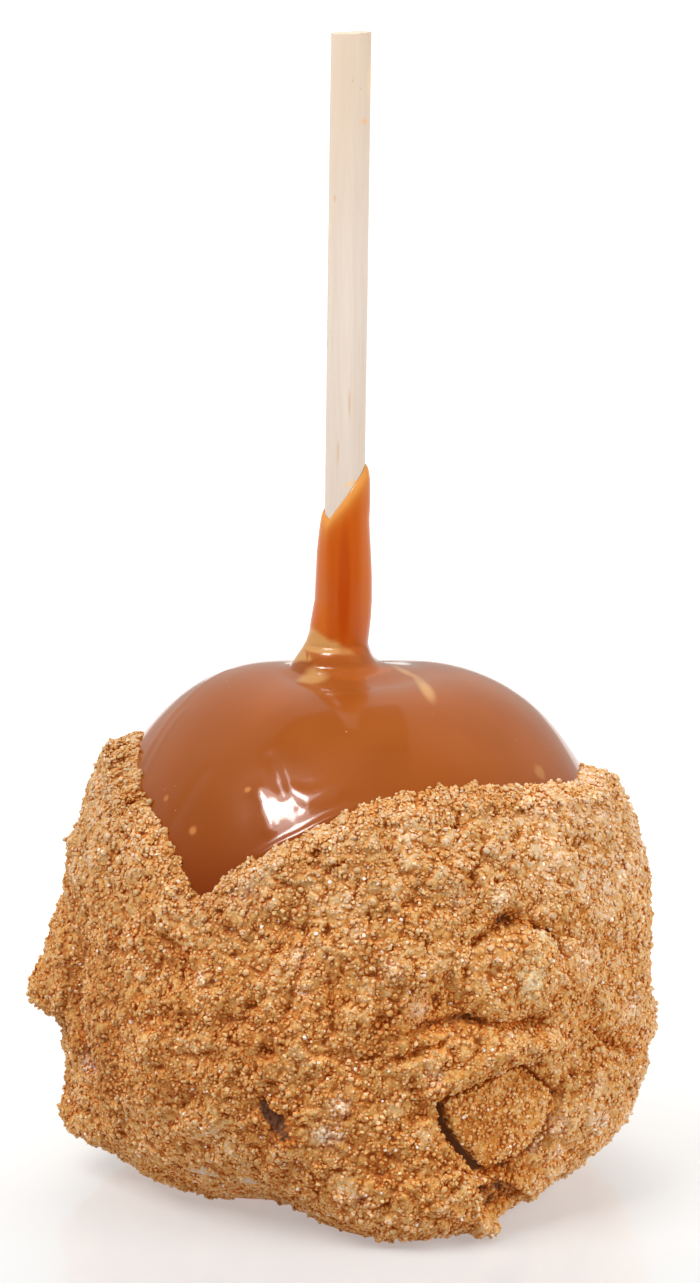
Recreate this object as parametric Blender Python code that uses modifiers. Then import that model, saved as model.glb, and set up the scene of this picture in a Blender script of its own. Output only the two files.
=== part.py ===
"""A caramel apple on a round wooden stick, rolled in biscuit crumbs.

Metres, +Z up, the front towards -Y. The origin is on the ground, under the middle of the apple.
An azimuth is measured from the front, and is positive towards +X.
"""

import math

import bmesh
import bpy
from mathutils import Matrix, Vector, noise

# Room left between pieces that touch
GAP = 0.0003

# Wooden stick: a round dowel that leans a little towards +X
STICK_RADIUS = 0.003175
STICK_LENGTH = 0.140
STICK_TOP = Vector((0.0002, 0, 0.185))
STICK_LEAN = math.radians(0.8)
STICK_SIDES = 36
STICK_CHAMFER = 0.0003

# Caramel round the apple: a low mound inside a rounded shoulder ring, and a wide soft foot
SHOULDER_RADIUS = 0.014
SHOULDER_HEIGHT = 0.0818
BODY_RADIUS = 0.0449
BODY_MIDDLE = 0.036
BODY_FOOT = 0.0035
FOOT_POWER = 4.0
MOUND_RISE = 0.0022
BODY_SIDES = 52

# Caramel sleeve up the stick. Its root flares out on to the apple: the flare is FLARE_GROWTH thick
# at FLARE_HEIGHT, e times thicker with each FLARE_FALL below that, ends FLARE_DROP below it, and
# from there slopes down to dip under the mound at FLARE_REACH
SLEEVE_WALL = 0.0013
SLEEVE_EDGE_WALL = 0.0007
SLEEVE_ROOT = 0.077
SLEEVE_TOP = 0.121
FLARE_HEIGHT = 0.0868
FLARE_GROWTH = 0.0008
FLARE_FALL = 0.0016
FLARE_DROP = 0.0026
FLARE_REACH = 0.0115
FLARE_DIP = 0.0004
SLEEVE_CUT_HEIGHT = 0.1127
SLEEVE_CUT_SLOPE = math.radians(48)

# Crumb coat: its outer surface bulges most at COAT_MIDDLE
COAT_RADIUS = 0.0484
COAT_RADIUS_SWING = 0.0013
COAT_MIDDLE = 0.030
COAT_CROWN = 0.0515
COAT_CROWN_SWING = -0.0022
COAT_CROWN_POWER = 3.0
COAT_KEEL = 0.034
COAT_KEEL_POWER = 3.2
COAT_LUMP = 0.0011
COAT_LUMP_SIZE = 0.011
COAT_SIDES = 68
COAT_RINGS = 28

# Squarer and rounder places of the coat's underside: azimuth, width in degrees, change of the power
KEEL_CHANGES = ((12, 22, 1.6), (-34, 34, -0.5))

# Bulges of the coat: azimuth, height, half width in azimuth degrees, half height, how far out
COAT_BULGES = (
    (-88, 0.0305, 10, 0.0075, 0.0046),
    (-86, 0.0095, 9, 0.0040, 0.0026),
    (24, 0.0060, 16, 0.0070, 0.0008),
)

# Upper edge of the coat: its radius and height, swellings of it, and a sharp notch. RIM_MIDDLE is
# the height that it slopes from, on the axis
RIM_RADIUS = 0.039
RIM_HEIGHT = 0.0665
RIM_MIDDLE = 0.062
RIM_SWELLS = (
    (24, 36, 0.0036),
    (112, 40, -0.0045),
    (-88, 14, 0.0052),
    (160, 22, 0.0021),
    (-150, 26, -0.0026),
)
NOTCH_AZIMUTH = -34
NOTCH_WIDTH = 11
NOTCH_DEPTH = 0.0142

# Slab of pressed crumbs in the lower right of the coat, between cracks
SLAB_AZIMUTH = 29
SLAB_HEIGHT = 0.0205
SLAB_INNER = BODY_RADIUS + GAP
SLAB_OUTER = 0.0489
SLAB_CORNERS = (
    (-0.0094, 0.0039),
    (-0.0081, -0.0009),
    (-0.0021, -0.0080),
    (0.0058, -0.0057),
    (0.0085, -0.0028),
    (0.0100, 0.0030),
    (0.0039, 0.0082),
)
SLAB_CRACKS = {"left": 0.0022, "right": 0.0009, "up": 0.0007, "down": 0.0007}
SLAB_ROUNDING = 0.0009

# Pale clump of crumbs, half sunk in the coat at the right
CLUMP_AZIMUTH = 37.5
CLUMP_HEIGHT = 0.0430
CLUMP_MIDDLE = 0.0485
CLUMP_SIZE = Vector((0.0060, 0.0062, 0.0026))
CLUMP_LUMP = 0.12

# Anything longer than the apple is wide, for cutters that run right through
FAR = 0.12


def clear_scene():
    for thing in list(bpy.data.objects):
        bpy.data.objects.remove(thing, do_unlink=True)


def new_collection(name):
    group = bpy.data.collections.new(name)
    bpy.context.scene.collection.children.link(group)
    return group


def new_material(name, colour, roughness):
    material = bpy.data.materials.new(name)
    material.use_nodes = True
    shader = material.node_tree.nodes["Principled BSDF"]
    shader.inputs["Base Color"].default_value = (*colour, 1)
    shader.inputs["Roughness"].default_value = roughness
    shader.inputs["Metallic"].default_value = 0
    return material


def object_from(mesh_maker, name, group):
    """A new object from a bmesh: its faces point outwards and shade smooth up to sharp edges."""
    mesh = bpy.data.meshes.new(name)
    bmesh.ops.recalc_face_normals(mesh_maker, faces=mesh_maker.faces)
    mesh_maker.to_mesh(mesh)
    mesh_maker.free()
    mesh.shade_smooth()
    mesh.set_sharp_from_angle(angle=math.radians(40))
    made = bpy.data.objects.new(name, mesh)
    group.objects.link(made)
    return made


def make_cutter(thing):
    thing.hide_render = True
    thing.display_type = "WIRE"
    return thing


def boolean(thing, operation, other):
    step = thing.modifiers.new(operation.title() + " " + other.name, "BOOLEAN")
    step.operation = operation
    step.solver = "EXACT"
    step.object = other


def grown(outline, by):
    """An outline of (radius, height) points that runs down its outer side, moved outwards."""
    moved = []
    for i, (radius, height) in enumerate(outline):
        before = outline[max(i - 1, 0)]
        after = outline[min(i + 1, len(outline) - 1)]
        along = Vector((after[0] - before[0], after[1] - before[1])).normalized()
        moved.append((max(radius - along.y * by, 0), height + along.x * by))
    moved[0] = (0, outline[0][1] + by)
    moved[-1] = (0, outline[-1][1] - by)
    return moved


def turned(name, outline, group, sides):
    """A body turned about Z from an outline that runs from the axis, down the outer side, to the axis."""
    mesh = bpy.data.meshes.new(name)
    points = [(radius, 0, height) for radius, height in outline]
    edges = [(i, i + 1) for i in range(len(points) - 1)]
    mesh.from_pydata(points, edges, [])
    made = bpy.data.objects.new(name, mesh)
    group.objects.link(made)
    screw = made.modifiers.new("Turn", "SCREW")
    screw.steps = sides
    screw.render_steps = sides
    screw.use_merge_vertices = True
    screw.merge_threshold = 0.00001
    screw.use_smooth_shade = True
    return made


def mound_height(radius):
    """Height of the caramel's low mound round the stick."""
    return SHOULDER_HEIGHT + MOUND_RISE * (1 - (radius / SHOULDER_RADIUS) ** 2) ** 2


def body_outline():
    """The caramel's outline: mound, shoulder arc down to the widest ring, then the fuller foot."""
    mound_steps = 4
    shoulder_steps = 12
    foot_steps = 8
    outline = []
    for i in range(mound_steps):
        radius = SHOULDER_RADIUS * i / mound_steps
        outline.append((radius, mound_height(radius)))
    for i in range(shoulder_steps):
        turn = math.pi / 2 * (1 - i / shoulder_steps)
        radius = SHOULDER_RADIUS + (BODY_RADIUS - SHOULDER_RADIUS) * math.cos(turn)
        height = BODY_MIDDLE + (SHOULDER_HEIGHT - BODY_MIDDLE) * math.sin(turn)
        outline.append((radius, height))
    for i in range(foot_steps):
        drop = math.sin(math.pi / 2 * i / foot_steps)
        radius = BODY_RADIUS * (1 - drop**FOOT_POWER) ** (1 / FOOT_POWER)
        outline.append((radius, BODY_MIDDLE - (BODY_MIDDLE - BODY_FOOT) * drop))
    outline.append((0, BODY_FOOT))
    return outline


def stick_frame():
    """The stick's axis as a frame with its origin on the ground and Z up the stick."""
    lean = Matrix.Rotation(STICK_LEAN, 4, "Y")
    return Matrix.Translation(STICK_TOP) @ lean @ Matrix.Translation((0, 0, -STICK_TOP.z))


def make_rod(name, radius, low, high, group):
    """A cylinder on the stick's axis between two heights."""
    maker = bmesh.new()
    bmesh.ops.create_cone(
        maker,
        cap_ends=True,
        segments=STICK_SIDES,
        radius1=radius,
        radius2=radius,
        depth=high - low,
        matrix=Matrix.Translation((0, 0, (low + high) / 2)),
    )
    rod = object_from(maker, name, group)
    rod.matrix_world = stick_frame()
    return rod


def make_stick(group):
    stick = make_rod("stick", STICK_RADIUS, STICK_TOP.z - STICK_LENGTH, STICK_TOP.z, group)
    bevel = stick.modifiers.new("Chamfer", "BEVEL")
    bevel.width = STICK_CHAMFER
    bevel.segments = 1
    bevel.limit_method = "ANGLE"
    stick.data.materials.append(new_material("pale wood", (0.78, 0.66, 0.5), 0.75))
    return stick


def sleeve_outline():
    """The sleeve's outline about the stick: a thin top edge, an even wall, and a flare at its root."""
    steps = 12
    outline = [(0, SLEEVE_TOP)]
    for i in range(steps + 1):
        drop = math.sin(math.pi / 2 * i / steps)
        height = SLEEVE_TOP + (FLARE_HEIGHT - FLARE_DROP - SLEEVE_TOP) * drop
        up = max(0, (height - FLARE_HEIGHT) / (SLEEVE_TOP - FLARE_HEIGHT))
        wall = SLEEVE_WALL + (SLEEVE_EDGE_WALL - SLEEVE_WALL) * up**2
        flare = FLARE_GROWTH * math.exp((FLARE_HEIGHT - height) / FLARE_FALL)
        outline.append((STICK_RADIUS + wall + flare, height))
    outline.append((FLARE_REACH, mound_height(FLARE_REACH) - FLARE_DIP))
    outline.append((STICK_RADIUS, SLEEVE_ROOT))
    outline.append((0, SLEEVE_ROOT))
    return outline


def make_caramel(group, cutters):
    caramel = turned("caramel_coated_apple", body_outline(), group, BODY_SIDES)

    sleeve = make_cutter(turned("sleeve", sleeve_outline(), cutters, STICK_SIDES))
    sleeve.matrix_world = stick_frame()
    boolean(caramel, "UNION", sleeve)

    bore = make_rod(
        "bore", STICK_RADIUS + GAP, STICK_TOP.z - STICK_LENGTH - GAP, STICK_TOP.z, cutters
    )
    boolean(caramel, "DIFFERENCE", make_cutter(bore))

    maker = bmesh.new()
    bmesh.ops.create_cube(maker, size=FAR, matrix=Matrix.Translation((0, 0, FAR / 2)))
    slant = object_from(maker, "slanted cut", cutters)
    slant.matrix_world = (
        stick_frame()
        @ Matrix.Translation((0, 0, SLEEVE_CUT_HEIGHT))
        @ Matrix.Rotation(-SLEEVE_CUT_SLOPE, 4, "Y")
    )
    boolean(caramel, "DIFFERENCE", make_cutter(slant))

    caramel.data.materials.append(new_material("caramel", (0.5, 0.14, 0.03), 0.12))
    return caramel


def bump(azimuth, centre, width):
    """1 at an azimuth's centre, falling smoothly to 0; all in degrees."""
    away = (azimuth - centre + 180) % 360 - 180
    return math.exp(-((away / width) ** 2))


def coat_radius(azimuth, height):
    """The crumb coat's outer radius before its small lumps. The azimuth is in degrees."""
    side = math.sin(math.radians(azimuth))
    widest = COAT_RADIUS + COAT_RADIUS_SWING * side
    if height > COAT_MIDDLE:
        crown = COAT_CROWN + COAT_CROWN_SWING * side
        share = (height - COAT_MIDDLE) / crown
        power = COAT_CROWN_POWER
    else:
        share = (COAT_MIDDLE - height) / COAT_KEEL
        power = COAT_KEEL_POWER
        for centre, width, change in KEEL_CHANGES:
            power += change * bump(azimuth, centre, width)
    radius = widest * max(1 - share**power, 0) ** (1 / power)
    for centre, middle, width, half_height, out in COAT_BULGES:
        up = math.exp(-(((height - middle) / half_height) ** 2))
        radius += out * up * bump(azimuth, centre, width)
    return radius


def rim_height(azimuth):
    """Height of the coat's upper edge where it meets the caramel. The azimuth is in degrees."""
    height = RIM_HEIGHT
    for centre, width, rise in RIM_SWELLS:
        height += rise * bump(azimuth, centre, width)
    away = abs((azimuth - NOTCH_AZIMUTH + 180) % 360 - 180)
    return height - NOTCH_DEPTH * math.exp(-away / NOTCH_WIDTH)


def azimuth_of(point):
    return math.degrees(math.atan2(point.x, -point.y))


def on_azimuth(azimuth, radius, height):
    turn = math.radians(azimuth)
    return Vector((radius * math.sin(turn), -radius * math.cos(turn), height))


def surface_frame(azimuth, radius, height):
    """A frame on the coat: X to the right, Y up and Z outwards."""
    out = on_azimuth(azimuth, 1, 0)
    right = Vector((-out.y, out.x, 0))
    turn = Matrix((right, Vector((0, 0, 1)), out)).transposed().to_4x4()
    return Matrix.Translation(on_azimuth(azimuth, radius, height)) @ turn


def make_coat_blank(group):
    """The coat's outer shape as a solid body that stands on a flat spot."""
    maker = bmesh.new()
    bmesh.ops.create_uvsphere(maker, u_segments=COAT_SIDES, v_segments=COAT_RINGS, radius=1)
    for vertex in maker.verts:
        azimuth = azimuth_of(vertex.co)
        side = math.sin(math.radians(azimuth))
        reach = COAT_CROWN + COAT_CROWN_SWING * side if vertex.co.z > 0 else COAT_KEEL
        height = COAT_MIDDLE + reach * vertex.co.z
        radius = coat_radius(azimuth, height)
        place = on_azimuth(azimuth, radius, height)
        radius += COAT_LUMP * noise.noise(place / COAT_LUMP_SIZE) * (1 - vertex.co.z**8)
        vertex.co = on_azimuth(azimuth, radius, max(height, 0))
    return object_from(maker, "crumb_coat", group)


def make_rim_cutter(cutters):
    """A drum over the coat. Its underside is a fan from the middle that crosses the rim at its height."""
    maker = bmesh.new()
    bmesh.ops.create_cone(
        maker,
        cap_ends=True,
        cap_tris=True,
        segments=2 * COAT_SIDES,
        radius1=FAR / 2,
        radius2=FAR / 2,
        depth=FAR,
        matrix=Matrix.Translation((0, 0, RIM_MIDDLE + FAR / 2)),
    )
    for vertex in maker.verts:
        if vertex.co.z < FAR / 2 + RIM_MIDDLE and vertex.co.xy.length > FAR / 4:
            rise = rim_height(azimuth_of(vertex.co)) - RIM_MIDDLE
            vertex.co.z += rise * FAR / 2 / RIM_RADIUS
    return make_cutter(object_from(maker, "rim cutter", cutters))


def make_block(name, corners, low, high, frame, group):
    """A flat-faced block: an outline of corners on the coat, between two radii."""
    maker = bmesh.new()
    made = bmesh.ops.create_circle(maker, cap_ends=True, segments=len(corners), radius=1)
    for vertex, (across, up) in zip(made["verts"], corners):
        vertex.co = (across, up, low)
    raised = bmesh.ops.extrude_face_region(maker, geom=list(maker.faces))["geom"]
    for vertex in (v for v in raised if isinstance(v, bmesh.types.BMVert)):
        vertex.co.z = high
    block = object_from(maker, name, group)
    block.matrix_world = frame
    return block


def make_slab(group, cutters, coat):
    frame = surface_frame(SLAB_AZIMUTH, 0, SLAB_HEIGHT)
    slab = make_block("crumb_slab", SLAB_CORNERS, SLAB_INNER, SLAB_OUTER, frame, group)
    bevel = slab.modifiers.new("Worn edges", "BEVEL")
    bevel.width = SLAB_ROUNDING
    bevel.segments = 2
    bevel.limit_method = "ANGLE"
    slab.data.materials.append(new_material("pressed crumbs", (0.5, 0.27, 0.12), 0.9))

    opening = []
    for across, up in SLAB_CORNERS:
        side = SLAB_CRACKS["left" if across < 0 else "right"]
        end = SLAB_CRACKS["up" if up > 0 else "down"]
        opening.append((across + math.copysign(side, across), up + math.copysign(end, up)))
    cut = make_block("slab opening", opening, BODY_RADIUS / 2, FAR / 2, frame, cutters)
    boolean(coat, "DIFFERENCE", make_cutter(cut))
    return slab


def make_clump_shape(name, room, group):
    maker = bmesh.new()
    bmesh.ops.create_icosphere(maker, subdivisions=3, radius=1)
    for vertex in maker.verts:
        direction = vertex.co.normalized()
        size = 1 + CLUMP_LUMP * noise.noise(direction * 1.7)
        vertex.co = Vector(size * (half + room) * along for half, along in zip(CLUMP_SIZE, direction))
    clump = object_from(maker, name, group)
    clump.matrix_world = surface_frame(CLUMP_AZIMUTH, CLUMP_MIDDLE, CLUMP_HEIGHT)
    return clump


def make_clump(group, cutters, coat):
    clump = make_clump_shape("crumb_clump", 0, group)
    clump.data.materials.append(new_material("pale crumbs", (0.66, 0.42, 0.2), 0.9))
    boolean(coat, "DIFFERENCE", make_cutter(make_clump_shape("clump hollow", 1.6 * GAP, cutters)))
    return clump


def make_coat(group, cutters):
    coat = make_coat_blank(group)
    inside = turned("coat inside", grown(body_outline(), GAP), cutters, BODY_SIDES)
    boolean(coat, "DIFFERENCE", make_cutter(inside))
    boolean(coat, "DIFFERENCE", make_rim_cutter(cutters))
    coat.data.materials.append(new_material("biscuit crumbs", (0.52, 0.28, 0.12), 0.9))
    return coat


def main():
    clear_scene()
    parts = new_collection("caramel apple")
    cutters = new_collection("cutters")
    make_stick(parts)
    make_caramel(parts, cutters)
    coat = make_coat(parts, cutters)
    make_slab(parts, cutters, coat)
    make_clump(parts, cutters, coat)


main()
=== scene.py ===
"""Looks of a caramel apple on a round wooden stick, rolled in biscuit crumbs.

Lengths in the tables below are in millimetres, and become metres when a mesh is made. An azimuth is in
degrees from the front (-Y), positive towards the right (+X). Heights are above the ground.
"""

import math
from contextlib import contextmanager

import bpy
import numpy as np
from mathutils import Matrix, Vector, noise


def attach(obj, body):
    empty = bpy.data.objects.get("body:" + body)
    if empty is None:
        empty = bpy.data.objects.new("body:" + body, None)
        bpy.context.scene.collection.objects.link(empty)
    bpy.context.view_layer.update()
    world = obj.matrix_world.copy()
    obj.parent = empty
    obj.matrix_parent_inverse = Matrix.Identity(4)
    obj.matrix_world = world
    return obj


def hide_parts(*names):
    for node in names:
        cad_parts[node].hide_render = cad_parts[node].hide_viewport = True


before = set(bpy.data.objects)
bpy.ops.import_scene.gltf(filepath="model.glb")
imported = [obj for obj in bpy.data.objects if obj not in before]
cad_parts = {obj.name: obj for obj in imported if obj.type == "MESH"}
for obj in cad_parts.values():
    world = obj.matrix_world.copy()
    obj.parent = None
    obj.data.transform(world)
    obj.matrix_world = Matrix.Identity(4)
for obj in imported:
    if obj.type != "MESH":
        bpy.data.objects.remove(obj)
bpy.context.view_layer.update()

MM = 0.001

# Stick: its axis leans a little to the right
STICK_RADIUS = 3.175
STICK_TOP = 185.0
STICK_TOP_X = 0.2
STICK_LEAN = math.tan(math.radians(0.8))
STICK_FOOT = 45.0

# Caramel dome: a rounded shoulder ring round a low mound
DOME_X = 0.4
SHOULDER_RADIUS = 12.86
SHOULDER_HEIGHT = 82.42
DOME_RADIUS = 44.65
DOME_MIDDLE = 41.0
DOME_ROUND_OUT = 0.941
DOME_ROUND_UP = 1.165
MOUND_RISE = 1.725
# Furrows and swells of the dome's crown: azimuth, width in degrees, rise
DOME_SWELLS = ((180, 42, -1.5), (-90, 40, 0.75), (90, 40, 0.05))
APPLE_FOOT = 3.6
FOOT_POWER = 4

# Caramel sleeve: height of its upper edge by azimuth
SLEEVE_EDGE = (
    (-180, 110.6), (-120, 109.2), (-95, 109.0), (-80, 108.6), (-47, 107.8), (-24, 109.4), (0, 111.2),
    (16, 112.6), (42, 114.4), (71, 116.0), (90, 116.4), (120, 115.2), (150, 112.8), (180, 110.6),
)
# Thickness of the sleeve by height, on its left, front, right and back
SLEEVE_WALLS = (
    (
        (87.5, 2.78), (88.9, 2.28), (91.6, 1.83), (94.2, 1.40), (98.1, 1.27), (102, 1.16), (104.6, 0.9),
        (107.2, 0.66), (110, 0.5), (117, 0.4),
    ),
    ((87.5, 1.72), (88.9, 1.48), (91.6, 1.38), (98, 1.3), (104, 1.0), (108, 0.8), (112, 0.62), (117, 0.5)),
    (
        (87.5, 0.88), (88.9, 1.03), (91.6, 1.3), (94.2, 1.43), (98.1, 1.37), (102, 1.15), (104.6, 0.95),
        (107.2, 0.8), (109.8, 0.88), (113.7, 0.83), (117, 0.6),
    ),
    ((87.5, 1.6), (88.9, 1.45), (91.6, 1.38), (98, 1.3), (104, 1.0), (108, 0.8), (112, 0.62), (117, 0.5)),
)
SLEEVE_ROOT = 87.5
BORE_FOOT = 44.6
# Flare at the sleeve's root: radius at each of these heights, on its left, front, right and back
FLARE_HEIGHTS = (87.5, 86.4, 85.4, 84.6, 83.9, 83.2)
FLARE_RADII = (
    (5.95, 6.8, 7.7, 8.4, 9.0, 9.4),
    (4.85, 5.45, 6.0, 6.4, 6.9, 7.6),
    (4.05, 4.25, 4.55, 4.9, 5.4, 6.0),
    (4.8, 5.3, 5.9, 6.7, 7.7, 9.0),
)

# Crumb coat: the same bulge as the CAD solid's
COAT_RADIUS = 48.5
COAT_RADIUS_SWING = 1.4
COAT_MIDDLE = 30.0
COAT_CROWN = 51.5
COAT_CROWN_SWING = -2.2
COAT_CROWN_POWER = 3.0
COAT_KEEL = 34.0
COAT_KEEL_POWER = 3.2
KEEL_CHANGES = ((15, 20, 1.8), (-34, 34, -0.43), (-24, 22, -0.60), (72, 24, -0.3))
# Azimuth, height, half width in degrees, half height, how far out
COAT_BULGES = (
    (-88, 33.5, 10, 9.0, 2.6), (-88, 30.2, 9, 3.6, 2.6), (-82, 8.7, 12, 5.3, 4.7), (24, 6.0, 16, 7.0, 0.8),
)
# Height of the coat's upper edge by azimuth
RIM = (
    (-180, 68.0), (-160, 66.0), (-145, 64.2), (-128, 65.2), (-110, 68.4), (-96, 71.0), (-84, 71.0), (-70, 68.4),
    (-56, 64.9), (-47, 62.2), (-41, 59.1), (-37, 55.9), (-33.4, 53.4), (-30, 55.8), (-24.7, 59.2), (-20, 61.6),
    (-11.6, 64.4), (-2.4, 67.4), (7.5, 69.5), (13, 70.3), (27, 70.4), (42, 69.8), (56, 68.6), (70, 66.9),
    (80, 66.3), (90, 66.6), (98, 65.0), (106, 63.2), (118, 62.6), (135, 64.6), (150, 67.4), (165, 68.6),
    (180, 68.0),
)
RIM_LIP = 2.6
# Radius at which the places of the coat's features are laid out
GIRTH = 48

# Hollows (and, with a negative depth, mounds) of the coat: azimuth, height, half width, half height, depth
COAT_PITS = (
    (-67.5, 23.8, 2.8, 3.0, 3.2), (-66, 21.5, 4.0, 1.8, 1.2), (17, 39.3, 5.0, 2.8, 1.6),
    (32, 52.6, 6.0, 1.6, 1.3), (-9, 52.2, 1.6, 1.1, 1.0), (-24.6, 51.4, 1.6, 1.1, 0.9),
    (-23.5, 36.7, 2.2, 1.5, 1.2), (-15.6, 32.4, 2.0, 1.5, 1.1), (-2.9, 32.8, 2.6, 1.3, 1.2),
    (-14.0, 20.5, 2.4, 2.4, 0.2), (60, 28.0, 5.0, 1.6, 1.3), (37, 10.2, 5.0, 1.6, 1.6),
    (-40, 34, 3.0, 2.0, 0.9), (4, 14, 3.5, 2.0, 1.0), (8.1, 46.3, 3.2, 2.2, -0.8), (11.8, 36.0, 3.0, 2.0, -0.7),
    (-21, 42.5, 3.0, 2.5, -0.7), (33, 43.0, 7.5, 6.5, -0.9), (-2, 23, 5, 3, -0.8), (-30, 12, 6, 3, -0.7),
    (57, 19, 6, 5, -0.9), (140, 40, 8, 5, -1.2), (170, 22, 6, 5, 1.4), (120, 30, 5, 3, 1.2),
    (-150, 45, 7, 4, 1.2), (-125, 25, 8, 6, -1.2), (-170, 52, 6, 4, -1.0),
)
# Cracks of the coat: width, depth, and the (azimuth, height) points that each runs through
COAT_CRACKS = (
    (1.7, -1.3, ((15, 26.6), (20, 28.0), (27, 30.6), (34, 32.4), (41, 31.0))),
    (1.2, 2.8, ((-71, 42), (-72.5, 38), (-72, 31), (-69, 26.5), (-66, 22.5))),
    (1.1, 1.9, ((12, 36.0), (17, 36.8), (23.1, 37.3), (27.4, 35.9), (31.9, 35.2), (38.6, 35.4))),
    (0.8, 1.2, ((9.1, 32.0), (12.8, 33.1), (16.9, 33.6))),
    (0.8, 1.6, ((53.5, 30.4), (57.9, 27.7), (69.5, 24.1), (88, 20.5))),
    (0.9, 1.7, ((24.0, 49.0), (27.9, 50.9), (30.8, 51.8), (34.8, 51.9), (40.6, 48.9), (43.5, 45.0))),
    (1.0, 2.2, ((43.3, 24.4), (41.4, 18.3), (40.8, 15.0))),
    (0.9, 2.4, ((26.0, 11.5), (33, 12.4), (40, 14.0))),
    (0.7, 1.0, ((-9, 47.5), (-10.5, 43), (-12, 39.5))),
    (0.7, 0.9, ((-4, 44), (-3.2, 39), (-5, 34.5))),
    (0.7, 0.9, ((-40, 48), (-34, 46.5), (-29, 47.3))),
    (0.8, 1.1, ((100, 40), (108, 37), (118, 38), (128, 34))),
    (0.8, 1.1, ((-165, 34), (-158, 31), (-150, 32.5), (-140, 28))),
)
# Places where the coat steps in (or, with a negative depth, out) at a sharp edge: depth, and the
# (azimuth, height) corners, anticlockwise as seen from outside
COAT_STEPS = (
    (2.0, ((26.4, 3.2), (47, 4.6), (52, 9.5), (44, 12.8), (36, 12.8), (29, 11.0), (23.0, 14.0))),
    (-0.9, ((3, -4), (26.4, -4), (26.4, 7.5), (21.8, 13.6), (9, 12.5))),
    (-0.8, ((48, 12), (66, 15), (74, 22), (60, 27), (46, 24), (44, 15))),
    (-1.2, ((-110, 26.5), (-78, 26.5), (-74.5, 31), (-74.5, 39), (-79, 44), (-110, 46))),
    (-2.1, ((25, 1.2), (31.5, 1.5), (31.0, 3.6), (25, 5.0))),
)
# Pale, sugary places of the coat: azimuth, height, half width in mm, strength
PALE_PLACES = (
    (-33, 57.7, 2.8, 0.6), (-22.5, 58.4, 3.2, 0.5), (65.7, 31.3, 1.7, 1.0), (48.6, 43.0, 2.4, 0.55),
    (-54.9, 45.0, 0.6, 1.0), (-55.1, 43.9, 0.6, 1.0), (-54.9, 42.8, 0.6, 0.9), (-70.0, 20.5, 1.6, 1.0),
    (55.6, 15.3, 1.7, 1.0), (38.8, 14.4, 1.2, 1.0), (44.0, 11.5, 1.2, 1.0), (15.6, 28.4, 1.2, 0.6),
    (-65.1, 22.1, 1.8, 1.0), (8.1, 46.3, 1.4, 0.3), (-9.9, 47.8, 1.1, 0.7), (-2.0, 24.5, 1.3, 0.8),
    (-2.4, 20.2, 1.2, 0.7), (1.3, 51.5, 1.2, 0.4), (5.5, 69.0, 1.2, 0.8), (9.0, 68.6, 0.9, 0.8),
    (22.2, 57.0, 2.0, 0.25), (18.0, 62.0, 0.8, 0.8), (-29.9, 43.0, 1.0, 0.9), (-5.1, 19.4, 1.5, 0.9),
    (1.2, 8.2, 1.4, 0.8), (-9.1, 42.5, 0.8, 0.9), (-26.6, 9.0, 0.8, 0.9), (-52, 58.5, 0.9, 0.9),
    (-46, 63.5, 0.7, 0.9), (13, 39.5, 1.6, 0.5), (43, 17, 1.4, 0.9), (52.4, 22.5, 1.5, 0.8),
    (22, 66.5, 1.0, 0.8), (45, 63, 0.8, 0.8), (31, 56, 0.8, 0.8), (26, 30, 1.0, 0.7), (110, 52, 2.5, 0.6),
    (160, 33, 2.0, 0.6), (-140, 55, 2.0, 0.7), (-120, 38, 2.0, 0.6),
)

# Dark flecks of burnt sugar: azimuth, height, half width in mm, strength
DARK_FLECKS = (
    (-16.4, 22.9, 1.6, 1.2), (-14.6, 20.6, 2.2, 1.3), (-12.6, 18.2, 1.6, 1.1), (-19.0, 33.5, 0.6, 0.8),
    (31.0, 58.0, 0.5, 0.8), (95.0, 30.0, 0.9, 1.4), (-150.0, 24.0, 1.0, 1.5),
)

# Slab of pressed crumbs, as (across, up) corners round its middle, and the cracks round it
SLAB_AZIMUTH = 29
SLAB_HEIGHT = 20.5
SLAB_BACK = 44.9
SLAB_FACE = 47.5
SLAB_CORNERS = ((-9.4, 3.9), (-8.1, -0.9), (-2.1, -8.0), (5.8, -5.7), (8.5, -2.8), (10.0, 3.0), (3.9, 8.2))
SLAB_CRACKS = {"left": 1.8, "right": 0.6, "up": 0.4, "down": 0.9}

# Pale clump, half sunk in the coat
CLUMP_AZIMUTH = 37.0
CLUMP_HEIGHT = 43.0
CLUMP_MIDDLE = 46.9
CLUMP_SIZE = (6.0, 6.2, 2.6)


# ---- Making meshes


def deselect():
    bpy.ops.object.select_all(action="DESELECT")


def work_on(piece):
    deselect()
    piece.select_set(True)
    bpy.context.view_layer.objects.active = piece


@contextmanager
def edit_mode(select="SELECT"):
    """Edit mode on the active piece, with all or nothing selected, or with the selection as it is."""
    bpy.ops.object.mode_set(mode="EDIT")
    if select:
        bpy.ops.mesh.select_all(action=select)
    yield
    bpy.ops.object.mode_set(mode="OBJECT")


def added(name):
    """The piece that an operator has just added, under its name."""
    piece = bpy.context.object
    piece.name = name
    return piece


def settle(piece):
    """Puts a piece's place, turn and size into its mesh."""
    work_on(piece)
    bpy.ops.object.transform_apply(location=True, rotation=True, scale=True)


def put_in_scene(name, data):
    thing = bpy.data.objects.new(name, data)
    bpy.context.scene.collection.objects.link(thing)
    return thing


def twin_of(piece, name):
    return put_in_scene(name, piece.data.copy())


def read_vertices(piece, what):
    flat = np.empty(3 * len(piece.data.vertices))
    piece.data.vertices.foreach_get(what, flat)
    return flat.reshape(-1, 3)


def points_of(piece):
    return read_vertices(piece, "co") / MM


def set_points(piece, points):
    piece.data.vertices.foreach_set("co", (points * MM).ravel())
    piece.data.update()


def normals_of(piece):
    return read_vertices(piece, "normal")


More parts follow.
